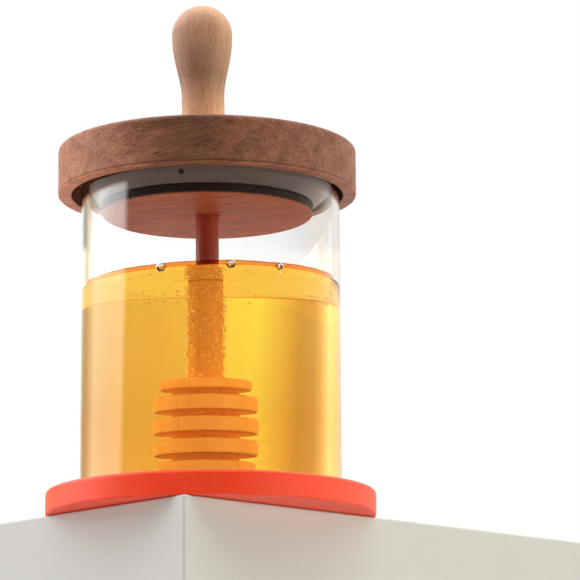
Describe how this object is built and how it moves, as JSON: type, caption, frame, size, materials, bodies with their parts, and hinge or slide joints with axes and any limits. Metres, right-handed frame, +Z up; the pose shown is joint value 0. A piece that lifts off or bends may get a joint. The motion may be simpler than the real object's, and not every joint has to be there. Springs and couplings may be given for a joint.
{
  "type": "glass honey pot",
  "caption": "Straight glass pot of honey on a low silicone tray, shut by a round wooden lid with a silicone seal, a bulb knob on top and a honey dipper hanging in the honey.",
  "frame": {"origin": "on the table, at the middle of the tray's underside", "axes": "+Z up through the knob, -Y towards the picture's viewer, +X to the viewer's right"},
  "size_m": [0.1084, 0.1084, 0.1736],
  "materials": {
    "red_silicone": "red-orange silicone rubber, soft satin",
    "clear_glass": "clear glass, smooth",
    "honey": "clear amber honey, glossy surface",
    "walnut": "dark brown open-pored wood, oiled",
    "grey_silicone": "grey translucent silicone rubber, satin",
    "beech": "pale fine-grained wood, sanded",
    "dipper_wood": "brown turned wood, sanded"
  },
  "bodies": {
    "root": {"silicone_tray": "red_silicone", "glass_jar": "clear_glass", "honey": "honey", "lid": "walnut", "seal_ring": "grey_silicone", "knob": "beech", "dipper": "dipper_wood"}
  },
  "joints": []
}
